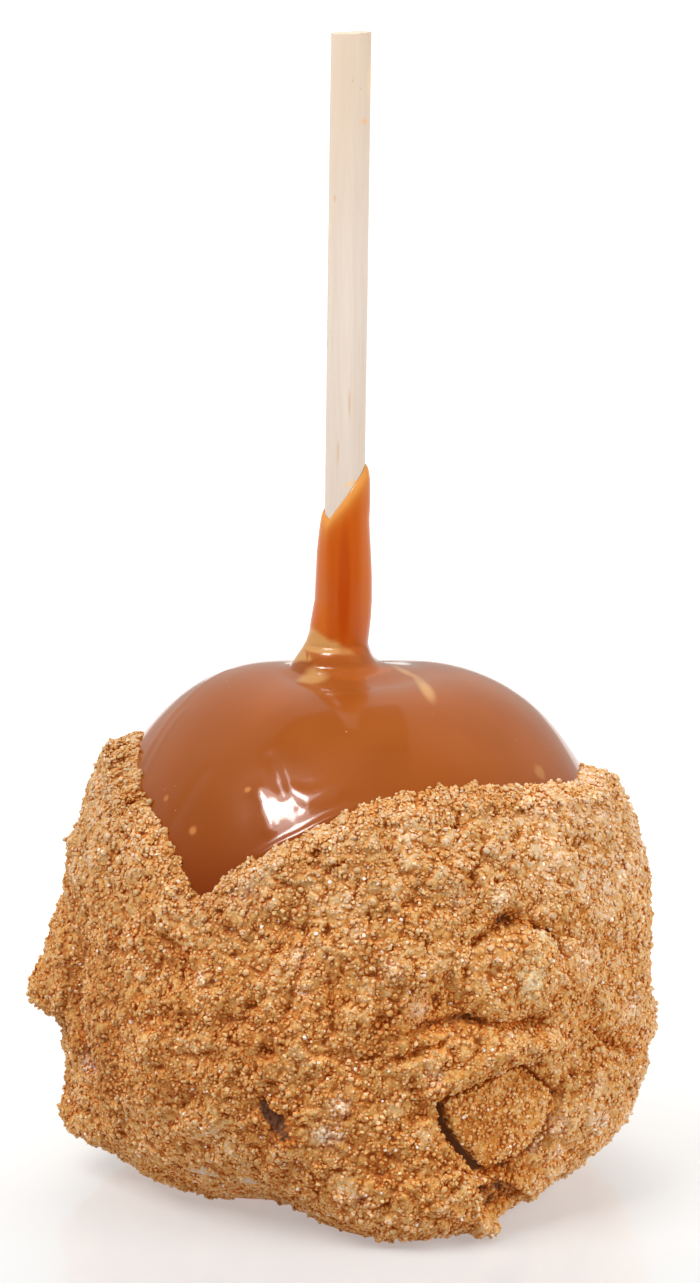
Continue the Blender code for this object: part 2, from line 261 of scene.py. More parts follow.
def keep(piece, **layers):
    """Stores one number for each vertex in each layer, which the finish reads by name."""
    for name, values in layers.items():
        layer = piece.data.attributes.new(name, "FLOAT", "POINT")
        layer.data.foreach_set("value", np.asarray(values, dtype=np.float32))


def apply_steps(piece):
    work_on(piece)
    for step in list(piece.modifiers):
        bpy.ops.object.modifier_apply(modifier=step.name)


def smooth(piece, angle=60):
    work_on(piece)
    bpy.ops.object.shade_smooth_by_angle(angle=math.radians(angle))


def blank(name, rows, columns):
    """A closed can to shape, with this many rows of vertices: the first and the last meet on the axis."""
    deselect()
    bpy.ops.mesh.primitive_grid_add(x_subdivisions=columns, y_subdivisions=rows - 1, size=2)
    piece = added(name)
    at = points_of(piece) * MM
    row = np.rint((1 - at[:, 1]) / 2 * (rows - 1))
    radius = np.where((row == 0) | (row == rows - 1), 0, 1)
    set_points(piece, at_azimuth(at[:, 0] * 180, radius, -row) / MM)
    with edit_mode():
        bpy.ops.mesh.remove_doubles(threshold=0.0005)
    return piece


def rows_and_azimuths(piece):
    """The row number and the azimuth of each vertex of a fresh blank."""
    at = points_of(piece) * MM
    return np.rint(-at[:, 2]).astype(int), np.degrees(np.arctan2(at[:, 0], -at[:, 1]))


def at_azimuth(azimuth, radius, height):
    turn = np.radians(azimuth)
    return np.stack([radius * np.sin(turn), -radius * np.cos(turn), height + 0 * turn], axis=-1)


def wrapped(azimuth):
    return (azimuth + 180) % 360 - 180


def bell(away, width):
    return np.exp(-((away / width) ** 2))


def bump(azimuth, centre, width):
    return bell(wrapped(azimuth - centre), width)


def step_up(value, low, high):
    share = np.clip((value - low) / (high - low), 0, 1)
    return share * share * (3 - 2 * share)


def read_table(table, value):
    places, values = zip(*table)
    return np.interp(value, places, values)


def round_table(table, azimuth):
    """A smooth curve round the axis through (azimuth, value) points."""
    fine = np.arange(-180, 180, 1.0)
    values = read_table(table, fine)
    around = bell(np.arange(-4, 5), 2.0)
    around /= around.sum()
    eased = sum(w * np.roll(values, k) for k, w in zip(range(-4, 5), around))
    return np.interp(wrapped(azimuth), np.append(fine, 180), np.append(eased, eased[0]))


def four_sides(azimuth, left, front, right, back):
    """Blends values for the left, front, right and back of a round piece."""
    across, along = np.sin(np.radians(azimuth)), np.cos(np.radians(azimuth))
    return across**2 * np.where(across > 0, right, left) + along**2 * np.where(along > 0, front, back)


def noise_at(points, size, octaves=3):
    """Soft noise between about -1 and 1, with features of this size."""
    scaled = points / size
    return np.array([noise.fractal(Vector(p), 1.0, 2.0, octaves) for p in scaled])


# How far in from its edge a packed grain reaches its full height, as a share of its size
GRAIN_SHOULDER = 0.55


def grains_at(points, size):
    """Rounded grains packed side by side: height from 0 at their joints to 1, and a random number for each grain."""
    heights = np.empty(len(points))
    chances = np.empty(len(points))
    for i, p in enumerate(points / size):
        away, centres = noise.voronoi(Vector(p))
        gap = away[1] - away[0]
        heights[i] = min(gap / GRAIN_SHOULDER, 1.0)
        chances[i] = noise.cell(centres[0] * 7.31 + Vector((3.1, 1.7, 9.2)))
    return np.sqrt(heights), chances


# ---- Shapes


def stick_axis(height):
    return STICK_TOP_X + (height - STICK_TOP) * STICK_LEAN


def shoulder_height(turn):
    return DOME_MIDDLE + (SHOULDER_HEIGHT - DOME_MIDDLE) * np.sin(turn) ** DOME_ROUND_UP


def dome_height(radius, azimuth):
    """Height of the caramel dome at a radius inside its shoulder ring or outside it."""
    inside = SHOULDER_HEIGHT + MOUND_RISE * (1 - np.minimum(radius / SHOULDER_RADIUS, 1) ** 2) ** 2
    share = np.clip((radius - SHOULDER_RADIUS) / (DOME_RADIUS - SHOULDER_RADIUS), 0, 1)
    turn = np.arccos(share ** (1 / DOME_ROUND_OUT))
    outside = shoulder_height(turn)
    height = np.where(radius < SHOULDER_RADIUS, inside, outside)
    return height + crown_change(height, radius, azimuth)


def crown_change(height, radius, azimuth):
    up = np.clip((height - DOME_MIDDLE) / (SHOULDER_HEIGHT - DOME_MIDDLE), 0, 1) ** 2
    change = 0
    for centre, width, rise in DOME_SWELLS:
        change = change + rise * bump(azimuth, centre, width)
    return up * np.clip(radius / 14, 0, 1) * change


def dome_radius(height, azimuth):
    """The apple's radius at a height, from its foot up to the shoulder ring."""
    turns = np.arange(-180, 181, 3.0)
    levels = np.linspace(DOME_MIDDLE, SHOULDER_HEIGHT, 160)
    radii = np.linspace(SHOULDER_RADIUS, DOME_RADIUS, 200)
    rows = [np.interp(-levels, -dome_height(radii, np.full(200, turn)), radii) for turn in turns]
    table = np.array(rows)
    across = np.clip((azimuth + 180) % 360 / 3.0, 0, len(turns) - 1.001)
    up = (height - DOME_MIDDLE) / (SHOULDER_HEIGHT - DOME_MIDDLE) * (len(levels) - 1)
    up = np.clip(up + 0 * across, 0, len(levels) - 1.001)
    i, j = across.astype(int), up.astype(int)
    x, y = across - i, up - j
    left = table[i, j] * (1 - y) + table[i, j + 1] * y
    right = table[i + 1, j] * (1 - y) + table[i + 1, j + 1] * y
    drop = np.clip((DOME_MIDDLE - height) / (DOME_MIDDLE - APPLE_FOOT), 0, 1)
    return (left * (1 - x) + right * x) * (1 - drop**FOOT_POWER) ** (1 / FOOT_POWER)


def flare_height(azimuth, radius):
    """Height of the flare's surface at a radius."""
    radii = np.stack([four_sides(azimuth, *side) for side in zip(*FLARE_RADII)], axis=-1)
    rows = zip(radius, radii)
    return np.array([np.interp(one, row, FLARE_HEIGHTS, right=FLARE_HEIGHTS[-1] - 6) for one, row in rows])


def softer_top(a, b, room):
    """The higher of two surfaces, with a fillet of about this size where they meet."""
    overlap = np.clip(room - np.abs(a - b), 0, room)
    return np.maximum(a, b) + overlap**2 / (4 * room)


def coat_radius(azimuth, height):
    side = np.sin(np.radians(azimuth))
    widest = COAT_RADIUS + COAT_RADIUS_SWING * side
    crown = COAT_CROWN + COAT_CROWN_SWING * side
    power = COAT_KEEL_POWER
    for centre, width, change in KEEL_CHANGES:
        power = power + change * bump(azimuth, centre, width)
    above = np.clip((height - COAT_MIDDLE) / crown, 0, 1)
    below = np.clip((COAT_MIDDLE - height) / COAT_KEEL, 0, 1)
    upper = widest * (1 - above**COAT_CROWN_POWER) ** (1 / COAT_CROWN_POWER)
    lower = widest * (1 - below**power) ** (1 / power)
    radius = np.where(height > COAT_MIDDLE, upper, lower)
    for centre, middle, width, half_height, out in COAT_BULGES:
        radius = radius + out * bell(height - middle, half_height) * bump(azimuth, centre, width)
    return radius


# ---- Pieces


def make_stick():
    """A birch dowel: slightly out of round, with a worn, uneven top end."""
    bpy.ops.mesh.primitive_cylinder_add(
        vertices=96,
        radius=STICK_RADIUS * MM,
        depth=(STICK_TOP - STICK_FOOT) * MM,
        location=(0, 0, (STICK_TOP + STICK_FOOT) / 2 * MM),
        end_fill_type="NGON",
    )
    stick = added("stick_dowel")
    settle(stick)
    with edit_mode("DESELECT"):
        pass
    for face in stick.data.polygons:
        face.select = abs(face.normal.z) > 0.5
    with edit_mode(None):
        for rim in (0.18, 0.5, 1.0):
            bpy.ops.mesh.inset(thickness=rim * MM)
    for cut in np.arange(STICK_FOOT + 1.0, STICK_TOP - 0.3, 1.4):
        with edit_mode():
            bpy.ops.mesh.bisect(plane_co=(0, 0, cut * MM), plane_no=(0, 0, 1))
    points = points_of(stick)
    radius = np.hypot(points[:, 0], points[:, 1])
    around = points[:, :2] / np.maximum(radius, 1e-6)[:, None]
    # Fibres run along the stick, so the noise is stretched along it
    fibres = noise_at(points * (1, 1, 0.03), 0.5, 2)
    flats = noise_at(points * (1, 1, 0.02), 3.0, 1)
    wear = np.clip((radius - 1) / 2, 0, 1)
    points[:, :2] += around * (wear * (0.02 * fibres + 0.03 * flats))[:, None]
    top = step_up(points[:, 2], STICK_TOP - 0.25, STICK_TOP)
    edge = step_up(radius, STICK_RADIUS - 0.25, STICK_RADIUS)
    points[:, 2] -= top * edge * 0.28
    points[:, 2] += top * (0.12 * noise_at(points, 1.3, 2) + 0.045 * points[:, 0])
    points[:, 0] += stick_axis(points[:, 2])
    set_points(stick, points)
    smooth(stick, 35)
    return stick


def make_caramel():
    """Dome, flare and sleeve in one: rows run from inside the bore, over the sleeve's edge, down to the foot."""
    bore_rows, sleeve_rows, flare_rows, dome_rows, foot_rows = 4, 66, 34, 100, 14
    rows = 1 + bore_rows + sleeve_rows + flare_rows + dome_rows + foot_rows + 1
    caramel = blank("caramel", rows, 360)
    row, azimuth = rows_and_azimuths(caramel)
    # Columns stand closer together in front, where the pour marks are
    azimuth = azimuth - 22 * np.sin(np.radians(azimuth + 10)) + 22 * math.sin(math.radians(10))
    points = np.zeros((len(row), 3))
    cover = np.ones(len(row))
    edge = round_table(SLEEVE_EDGE, azimuth)
    start = 0

    def take(count):
        """The next rows from the bore down: which vertices they hold, the row of each, and its azimuth."""
        nonlocal start
        taken = (row >= start) & (row < start + count)
        start += count
        return taken, row[taken] - start + count, azimuth[taken]

    def lay(taken, radius, height, shift):
        points[taken] = at_azimuth(azimuth[taken], radius, height)
        points[taken, 0] += shift

    points[take(1)[0]] = (stick_axis(BORE_FOOT), 0, BORE_FOOT)

    bore, step, turn = take(bore_rows)
    height = BORE_FOOT + (edge[bore] - 0.02 - BORE_FOOT) * (step / (bore_rows - 1))
    lay(bore, STICK_RADIUS + 0.04, height, stick_axis(height))
    cover[bore] = 0

    sleeve, step, turn = take(sleeve_rows)
    share = step / (sleeve_rows - 1)
    below = (edge[sleeve] - SLEEVE_ROOT) * share**1.35
    height = edge[sleeve] - below
    wall = four_sides(turn, *(read_table(side, height) for side in SLEEVE_WALLS))
    wall = wall * (1 - np.exp(-(below + 0.05) / 0.75))
    place = at_azimuth(turn, STICK_RADIUS, height)
    wall *= 1 + 0.07 * noise_at(place * (1, 1, 0.35), 4.0, 2) * step_up(below, 0, 3)
    lay(sleeve, STICK_RADIUS + 0.05 + wall, height, stick_axis(height))
    cover[sleeve] = 1 - np.exp(-below / 2.0)

    flare, step, turn = take(flare_rows)
    inner = four_sides(turn, *(side[0] for side in FLARE_RADII))
    share = (step + 1) / flare_rows
    radius = inner + (SHOULDER_RADIUS - inner) * share**1.25
    height = softer_top(dome_height(radius, turn), flare_height(turn, radius), 0.35)
    # A rolled fold round the front of the root, above a shallow groove
    front = np.exp(-(((turn + 8) / 52) ** 4))
    fold = bell(height - 86.0, 0.75) - 0.8 * bell(height - 84.55, 0.4)
    lean = stick_axis(85.0)
    lay(flare, radius, height + 0.42 * front * fold, lean + (DOME_X - lean) * share)

    dome, step, turn = take(dome_rows)
    share = (step + 1) / dome_rows
    share = share - 0.06 * (np.sin(2 * math.pi * (share - 0.53)) + math.sin(2 * math.pi * 0.53))
    fall = math.pi / 2 * (1 - share)
    radius = SHOULDER_RADIUS + (DOME_RADIUS - SHOULDER_RADIUS) * np.cos(fall) ** DOME_ROUND_OUT
    height = shoulder_height(fall)
    lay(dome, radius, height + crown_change(height, radius, turn), DOME_X)

    foot, step, turn = take(foot_rows)
    drop = np.sin(math.pi / 2 * (step + 1) / (foot_rows + 0.6))
    radius = DOME_RADIUS * (1 - drop**FOOT_POWER) ** (1 / FOOT_POWER)
    lay(foot, radius, DOME_MIDDLE - (DOME_MIDDLE - APPLE_FOOT) * drop, DOME_X)
    points[row == rows - 1] = (DOME_X, 0, APPLE_FOOT)
    set_points(caramel, points)

    # The poured surface: slow swells, and finer ripples above the front of the crumb coat
    out = normals_of(caramel)
    skin = row > bore_rows + 2
    swell = np.zeros(len(row))
    swell[skin] = 0.16 * noise_at(points[skin], 13, 1) + 0.02 * noise_at(points[skin], 4.5, 1)
    points += out * (swell * step_up(points[:, 2], 84, 79))[:, None]
    points += out * pour_marks(points)[:, None]
    set_points(caramel, points)
    # The root layer holds where the sleeve's reflection is painted
    keep(caramel, cover=cover, tan=tan_share(points), root=sleeve_reflection_share(points))
    smooth(caramel, 70)
    return caramel


def ridge_along(points, path, width):
    """How close each point is to a path of points: 1 on it, falling to 0 in about its width."""
    path = np.array(path, dtype=float)
    nearest = np.full(len(points), 1e9)
    for a, b in zip(path[:-1], path[1:]):
        along = b - a
        share = np.clip(((points - a) @ along) / (along @ along), 0, 1)
        nearest = np.minimum(nearest, np.linalg.norm(points - (a + share[:, None] * along), axis=1))
    return bell(nearest, width)


# Ridges (or grooves) in the caramel: height, width, and the points that each runs through
POUR_MARKS = (
    (-0.17, 1.1, ((-12.4, -28.0, 75.0), (-11.6, -30.3, 73.2), (-10.2, -33.3, 70.2))),
    (0.20, 1.4, ((-14.2, -31.5, 70.4), (-13.6, -33.6, 68.2), (-12.9, -35.6, 65.2))),
    (0.18, 1.7, ((-9.0, -33.0, 70.8), (-6.6, -34.2, 70.2), (-2.0, -33.6, 71.6))),
    (-0.08, 0.8, ((-14.6, -33.0, 69.0), (-13.9, -34.6, 67.2), (-13.4, -36.2, 64.6))),
    (-0.07, 0.9, ((-8.4, -32.3, 71.8), (-5.6, -33.2, 71.8), (-1.0, -32.0, 73.6))),
    (-0.07, 0.8, ((-11.4, -32.0, 71.6), (-9.0, -34.0, 70.0), (-7.8, -35.2, 68.6))),
    (0.07, 0.8, ((-6.0, -34.9, 69.4), (-3.0, -35.2, 69.8), (0.5, -33.4, 72.0))),
    (
        0.34,
        0.7,
        (
            (-14.2, -37.3, 61.4), (-11.0, -37.4, 63.4), (-7.7, -37.3, 64.9), (-4.0, -36.9, 66.9),
            (0, -36.2, 68.5), (4.6, -35.4, 69.1), (7.7, -34.7, 69.4),
        ),
    ),
    (-0.14, 1.2, ((-29.3, -26.8, 62.0), (-26.0, -25.9, 67.5), (-22.7, -24.5, 71.7))),
    (0.10, 0.9, ((-34.5, -12.2, 67.6), (-31.0, -8.0, 74.0), (-26.5, -3.5, 78.5), (-20, 3.5, 81.8))),
    (0.08, 0.8, ((-33.2, -15.5, 67.0), (-30.2, -11.5, 73.0), (-27.0, -7.8, 77.2))),
)


def pour_marks(points):
    marks = np.zeros(len(points))
    near = points[:, 2] > 55
    for height, width, path in POUR_MARKS:
        marks[near] += height * ridge_along(points[near], path, width)
    return marks


def tan_share(points):
    """Where the caramel is thin and pale at the sleeve's root: a wedge that sweeps down to the right."""
    across = points[:, 0] - stick_axis(points[:, 2])
    height = points[:, 2] + 0.12 * np.sin(across * 2.1)
    levels = (91.5, 90.6, 89.7, 89.0, 88.3, 87.6, 86.4, 85.4)
    upper = np.interp(across, (-7, -5, -3.6, -2.0, -0.3, 1.2, 2.4, 4), levels)
    lower = np.interp(across, (-9, -4, -2.2, 0, 2.4), (84.0, 85.9, 86.5, 86.3, 85.2))
    wedge = step_up(upper - height, 0, 0.9) * step_up(height, lower - 0.4, lower + 0.1)
    return wedge * step_up(-points[:, 1], -2.5, 0.5) * (1 - 0.5 * step_up(across, -1.6, 0.4))


def sleeve_reflection_share(points):
    """Where a painted reflection of the orange sleeve lies on the caramel in front of it."""
    across = points[:, 0] - stick_axis(points[:, 2])
    reach = np.hypot(across, points[:, 1])
    limit = np.interp(across, (-7, -4, -2.5, 0, 3, 5), (6.3, 7.2, 7.6, 8.4, 9.6, 8.2))
    limit = limit + 0.25 * np.sin(across * 5.2) + 0.15 * np.sin(across * 11 + 1)
    near = step_up(limit - reach, -0.15, 0.25) * step_up(86.6 - points[:, 2], 0, 0.3)
    return near * step_up(-points[:, 1], 0.0, 1.2) * step_up(points[:, 2], 80, 81)


def inside_corners(across, up, corners):
    """How far inside a convex outline each point is, in mm, and negative outside; corners run anticlockwise."""
    inside = np.full(len(across), 1e9)
    for (ax, ay), (bx, by) in zip(corners, corners[1:] + corners[:1]):
        length = math.hypot(bx - ax, by - ay)
        inside = np.minimum(inside, ((up - ay) * (bx - ax) - (across - ax) * (by - ay)) / length)
    return inside


def slab_share(azimuth, height):
    """How far inside the slab's opening a point of the coat is, in mm; negative outside it."""
    corners = []
    for x, y in SLAB_CORNERS:
        side = SLAB_CRACKS["left" if x < 0 else "right"]
        end = SLAB_CRACKS["up" if y > 0 else "down"]
        corners.append((x + math.copysign(side, x), y + math.copysign(end, y)))
    return inside_corners(np.radians(azimuth - SLAB_AZIMUTH) * SLAB_FACE, height - SLAB_HEIGHT, corners)


def coat_features(azimuth, height):
    """Depth of the hollows and cracks, in mm, at places on the coat."""
    depth = np.zeros(len(azimuth))
    for centre, middle, half_width, half_height, deep in COAT_PITS:
        depth += deep * bump(azimuth, centre, half_width) * bell(height - middle, half_height)
    across = np.radians(azimuth) * GIRTH
    for deep, corners in COAT_STEPS:
        corners = [(math.radians(a) * GIRTH, h) for a, h in corners]
        depth += deep * step_up(inside_corners(across, height, corners), 0, 0.7)
    flat = np.stack([across, height, 0 * height], axis=-1)
    for width, deep, path in COAT_CRACKS:
        depth += deep * ridge_along(flat, [(math.radians(a) * GIRTH, h, 0) for a, h in path], width)
    return depth


def spots_on(points, places):
    """How strongly each of these round places of the coat shows at each point."""
    for azimuth, height, size, strength in places:
        middle = at_azimuth(np.array([azimuth]), GIRTH, height)[0]
        yield strength * bell(np.linalg.norm(points - middle, axis=1), size)


def billow(points, size, octaves=2):
    """Rounded swellings with sharp valleys between them, from 0 in the valleys to about 1."""
    return np.minimum(np.abs(noise_at(points, size, octaves)) * 2.0, 1.0) ** 0.8


def crumble(points, out, coarse, fine, sink, room=None):
    """Moves a surface as packed crumbs, so that their tops lie a sink below it, and no hollow goes deeper than
    its room. Returns the points, a random shade, and how deep each lies."""
    bent = points + 1.2 * np.stack([noise_at(points + shift, 3.0, 2) for shift in (0, 31, 67)], axis=-1)
    lumps, lump_chance = grains_at(bent, 4.6)
    clumps, clump_chance = grains_at(bent + 13, 2.2)
    clusters, cluster_chance = grains_at(bent + 29, 1.25)
    swells = billow(bent + 51, 3.2, 2)
    pits = np.clip((-noise_at(bent + 83, 2.8, 2) - 0.22) / 0.45, 0, 1)
    height = coarse * 0.56 * lumps * (0.2 + 0.8 * lump_chance)
    height += coarse * 0.34 * clumps * (0.2 + 0.8 * clump_chance)
    height += coarse * 0.34 * noise_at(bent + 97, 1.7, 3)
    height += coarse * (0.50 * swells - 0.8 * pits)
    height += fine * 0.50 * clusters * (0.3 + 0.7 * cluster_chance)
    height -= sink + 0.78 * coarse + 0.3 * fine
    deep = 0.47 - height / (1.5 * coarse + 0.5 * fine)
    if room is not None:
        height = np.maximum(height, -room)
    shade = 0.2 * lump_chance + 0.3 * clump_chance + 0.5 * cluster_chance
    return points + out * height[:, None], shade, deep


def coat_outline(turns, top, inner_rows, lip_rows, wall_rows):
    """Radius and height of each row and column of the coat's shell: inner wall, lip, outer wall and underside."""
    start_radius = dome_radius(top - 0.3, turns) - 0.5
    lip_height = top - RIM_LIP
    lip_radius = coat_radius(turns, lip_height)
    radius = np.zeros((1 + inner_rows + lip_rows + wall_rows + 1, len(turns)))
    height = np.zeros(radius.shape)
    height[0] = 6.0
    for i in range(inner_rows):
        share = i / inner_rows
        level = 8 + (top - 8) * share
        radius[1 + i] = np.where(level > DOME_MIDDLE, dome_radius(level, turns) - 1.6, DOME_RADIUS - 6 * (1 - share))
        height[1 + i] = level
    for i in range(lip_rows):
        turn = math.pi / 2 * i / lip_rows
        radius[1 + inner_rows + i] = start_radius + (lip_radius - start_radius) * math.sin(turn)
        height[1 + inner_rows + i] = lip_height + (top - lip_height) * math.cos(turn) ** 0.8
    first = 1 + inner_rows + lip_rows
    levels, under, under_rows = 160, 30, 14
    for j, turn in enumerate(turns):
        # The outer wall down to the ground, then the flat underside in towards the axis
        down = lip_height[j] * np.linspace(1, 0, levels)
        out = coat_radius(np.full(levels, turn), down)
        line_r = np.append(out, out[-1] * np.linspace(0.98, 0.12, under))
        line_h = np.append(down, np.zeros(under))
        walked = np.append(0, np.cumsum(np.hypot(np.diff(line_r), np.diff(line_h))))
        wall = walked[levels - 1]
        steps = np.append(
            np.linspace(0, wall, wall_rows - under_rows), np.linspace(wall, walked[-1], under_rows + 1)[1:]
        )
        radius[first:, j] = np.append(np.interp(steps, walked, line_r), 0)
        height[first:, j] = np.append(np.interp(steps, walked, line_h), 0)
    return radius, height


def make_coat_surface():
    """The crumb coat as one closed shell."""
    inner_rows, lip_rows, wall_rows, columns = 5, 14, 218, 780
    rows = 1 + inner_rows + lip_rows + wall_rows + 1
    coat = blank("coat", rows, columns)
    row, azimuth = rows_and_azimuths(coat)
    order = np.rint((azimuth % 360) / 360 * columns).astype(int) % columns
    turns = wrapped(np.arange(columns) * 360 / columns)
    top = round_table(RIM, turns) + 0.25
    top += 1.0 * noise_at(at_azimuth(turns, 40, top), 1.9, 3)
    radius, height = coat_outline(turns, top, inner_rows, lip_rows, wall_rows)
    points = at_azimuth(turns[order], radius[row, order], height[row, order])
    points[(row == 0) | (row == rows - 1), :2] = 0
    set_points(coat, points)

    out = normals_of(coat)
    outer = row > inner_rows
    ground = (points[:, 2] < 0.01) & outer
    level = points[:, 2].copy()
    depth = np.zeros(len(row))
    depth[outer] = coat_features(azimuth[outer], level[outer]) * step_up(level[outer], 0, 1.2)
    mounds = np.zeros(len(row))
    mounds[outer] = 1.1 * noise_at(points[outer], 10.0, 2) - 0.25
    # Where the coat is thin it moves less, and never down into the caramel
    thick = np.hypot(points[:, 0] - DOME_X, points[:, 1]) - dome_radius(level, azimuth)
    thick *= np.clip(np.hypot(out[:, 0], out[:, 1]), 0.3, 1)
    thick[level < 5] = 9
    shift = (mounds - depth) * step_up(thick, 0, 2.5)
    shift = np.maximum(shift, 0.6 - np.maximum(thick, 0.6))
    moved = points.copy()
    moved[outer] += (out * shift[:, None])[outer]
    shade = np.zeros(len(row))
    deep = np.zeros(len(row))
    room = np.maximum(thick + shift - 0.35, 0)
    moved[outer], shade[outer], deep[outer] = crumble(moved[outer], out[outer], 1.0, 1.0, 0.1, room[outer])

    # The opening round the slab goes down to the caramel
    near = outer & (np.abs(azimuth - SLAB_AZIMUTH) < 20) & (level < 40)
    inside = np.full(len(row), -9.0)
    inside[near] = slab_share(azimuth[near], level[near])
    sunk = step_up(inside, 0.0, 0.7)
    floor = at_azimuth(azimuth, DOME_RADIUS + 0.4, level)
    moved = moved + (floor - moved) * (sunk * near)[:, None]

    # The underside stays on the ground
    moved[:, 2] = np.maximum(moved[:, 2], 0.05)
    moved[ground, 2] = np.minimum(moved[ground, 2], 0.6)
    moved[row == 0] = points[row == 0]
    moved[row == rows - 1] = (0, 0, 0.2)
    set_points(coat, moved)

    # Painted shade: hollows, the slab's opening and most of all its left gap count as deep, which the finish paints
    # darker; burnt flecks add their own dark colour
    away = -inside_corners(np.radians(azimuth - SLAB_AZIMUTH) * SLAB_FACE, level - SLAB_HEIGHT, list(SLAB_CORNERS))
    gap = sunk * near * step_up(away, 0.1, 0.6) * step_up(26 - azimuth, 0, 3)
    hollow = 0.4 * np.clip(depth, 0, 2.5) + 0.9 * sunk + 1.2 * gap
    bare = ground | ~outer | (sunk > 0.3) | (thick < -0.1)
    keep(
        coat,
        shade=shade,
        deep=np.clip(deep + hollow + sum(spots_on(points, DARK_FLECKS)), 0, 3),
        pale=np.max(list(spots_on(points, PALE_PLACES)), axis=0),
        loose=np.where(bare, 0.0, 1.0 + 0.6 * step_up(level, top[order] - 4, top[order] - 1)),
    )
    smooth(coat, 80)
    return coat


def surface_frame(azimuth, radius, height):
    """A frame on the coat, in metres: X to the right, Y up and Z outwards."""
    turn = math.radians(azimuth)
    out = Vector((math.sin(turn), -math.cos(turn), 0))
    right = Vector((math.cos(turn), math.sin(turn), 0))
    frame_turn = Matrix((right, Vector((0, 0, 1)), out)).transposed().to_4x4()
    place = out * radius * MM + Vector((0, 0, height * MM))
    return Matrix.Translation(place) @ frame_turn


def crumble_piece(piece, coarse, fine, sink, loose, deeper=0.0):
    points, shade, deep = crumble(points_of(piece), normals_of(piece), coarse, fine, sink)
    set_points(piece, points)
    # How deep each point lies, which the finish paints darker as shade
    keep(piece, shade=shade, deep=deep + deeper, pale=0 * shade, loose=0 * shade + loose)
    smooth(piece, 80)


def make_slab():
    """The slab of pressed crumbs: a worn block with a flat, fine-grained face."""
    deselect()
    bpy.ops.mesh.primitive_circle_add(vertices=len(SLAB_CORNERS), radius=0.01, fill_type="NGON")
    slab = added("crumb_slab_block")
    for vertex, (across, up) in zip(slab.data.vertices, reversed(SLAB_CORNERS)):
        vertex.co = (across * MM, up * MM, SLAB_BACK * MM)
    with edit_mode():
        bpy.ops.mesh.extrude_region_move(TRANSFORM_OT_translate={"value": (0, 0, (SLAB_FACE - SLAB_BACK) * MM)})
        bpy.ops.mesh.select_all(action="SELECT")
        bpy.ops.mesh.normals_make_consistent(inside=False)
        bpy.ops.mesh.bevel(offset=0.6 * MM, segments=2, affect="EDGES")
    slab.matrix_world = surface_frame(SLAB_AZIMUTH, 0, SLAB_HEIGHT)
    settle(slab)
    refine = slab.modifiers.new("Grain size", "REMESH")
    refine.mode = "VOXEL"
    refine.voxel_size = 0.32 * MM
    apply_steps(slab)
    crumble_piece(slab, 0.12, 0.8, 0.1, loose=1.0)
    return slab


def make_clump():
    """The pale clump: a rounded lump of pressed crumbs."""
    deselect()
    bpy.ops.mesh.primitive_ico_sphere_add(subdivisions=6, radius=1)
    clump = added("crumb_clump_lump")
    points = points_of(clump) * MM
    size = 1 + 0.16 * noise_at(points, 0.8, 2)
    set_points(clump, points * size[:, None] * np.array(CLUMP_SIZE))
    clump.matrix_world = surface_frame(CLUMP_AZIMUTH, CLUMP_MIDDLE, CLUMP_HEIGHT)
    settle(clump)
    crumble_piece(clump, 0.45, 0.6, -0.1, loose=0.5, deeper=-0.25)
    return clump


# ---- Loose grains


def grain_shape(name, faces, seed, flat):
    """One grain about 1 mm across, of 8 or 20 uneven faces."""
    deselect()
    if faces == 8:
        bpy.ops.mesh.primitive_uv_sphere_add(segments=4, ring_count=2, radius=0.5 * MM)
    else:
        bpy.ops.mesh.primitive_ico_sphere_add(subdivisions=1, radius=0.5 * MM)
    shape = added(name)
    for i, vertex in enumerate(shape.data.vertices):
        chance = noise.cell_vector(Vector((i * 1.7, seed * 3.1, 0.5)))
        vertex.co = vertex.co * (0.85 + 0.3 * chance.x)
        vertex.co += Vector((chance.y - 0.5, chance.z - 0.5, chance.x - 0.5)) * 0.2 * MM
    if not flat:
        work_on(shape)
        bpy.ops.object.shade_smooth()
    return shape


